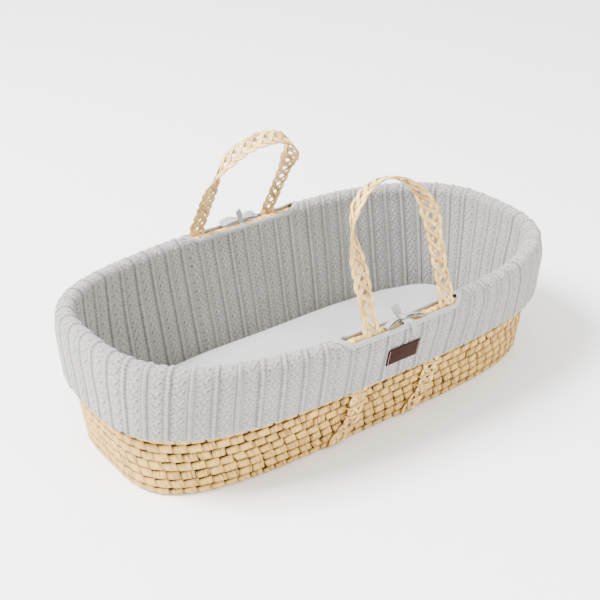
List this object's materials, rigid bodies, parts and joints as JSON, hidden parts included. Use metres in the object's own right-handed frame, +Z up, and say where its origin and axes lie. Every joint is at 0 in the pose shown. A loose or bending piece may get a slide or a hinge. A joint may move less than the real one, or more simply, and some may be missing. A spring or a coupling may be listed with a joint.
{
  "type": "moses basket",
  "caption": "Woven palm moses basket with a padded cable-knit cover folded over the rim, a fitted mattress, plaited carry handles that lean in and out, cotton ties and a leather label",
  "frame": {"origin": "on the floor, under the middle of the basket's length and width", "axes": "+X towards the foot end, -X towards the raised head end, -Y the labelled front side, +Z up"},
  "size_m": [0.83, 0.4438, 0.4174],
  "materials": {
    "palm": "matt split palm leaf, plaited in rows",
    "pale_palm": "matt pale palm plait",
    "knit": "soft cable knit in light grey cotton",
    "cotton": "plain woven cotton",
    "wadding": "polyester wadding",
    "elastic": "woven elastic",
    "leather": "smooth dark brown leather",
    "thread": "waxed thread",
    "foam": "foam",
    "ticking": "quilted cotton ticking",
    "jersey": "pale grey cotton jersey"
  },
  "bodies": {
    "basket": {"palm_floor": "palm", "palm_wall": "palm", "rim_roll": "pale_palm", "rim_lashing": "palm", "strap_head": "pale_palm", "strap_foot": "pale_palm", "strap_stitches_front": "palm", "strap_stitches_back": "palm", "wadding_head": "wadding", "wadding_foot": "wadding", "wadding_front": "wadding", "wadding_back": "wadding", "cover_head": "knit", "cover_foot": "knit", "cover_front_outer": "knit", "cover_front_inner": "knit", "cover_back_outer": "knit", "cover_back_inner": "knit", "hem_elastic": "elastic", "liner_floor": "cotton", "binding_front_outer": "cotton", "binding_front_inner": "cotton", "binding_back_outer": "cotton", "binding_back_inner": "cotton", "tie_front": "cotton", "tie_back": "cotton", "label": "leather", "label_stitches": "thread"},
    "handle_front": {"handle_front": "pale_palm"},
    "handle_back": {"handle_back": "pale_palm"},
    "mattress": {"mattress_core": "foam", "mattress_ticking": "ticking", "fitted_sheet": "jersey", "sheet_elastic": "elastic"}
  },
  "joints": [
    {"name": "front_handle_hinge", "type": "hinge", "parent": "basket", "child": "handle_front", "pos_m": [0.01, -0.2139, 0.2173], "axis": [-1, 0, 0], "range_deg": [-85, 55]},
    {"name": "back_handle_hinge", "type": "hinge", "parent": "basket", "child": "handle_back", "pos_m": [-0.01, 0.2139, 0.2173], "axis": [1, 0, 0], "range_deg": [-95, 45]},
    {"name": "mattress_lift", "type": "slide", "parent": "basket", "child": "mattress", "axis": [0, 0, 1], "range_m": [0, 0.16]}
  ]
}
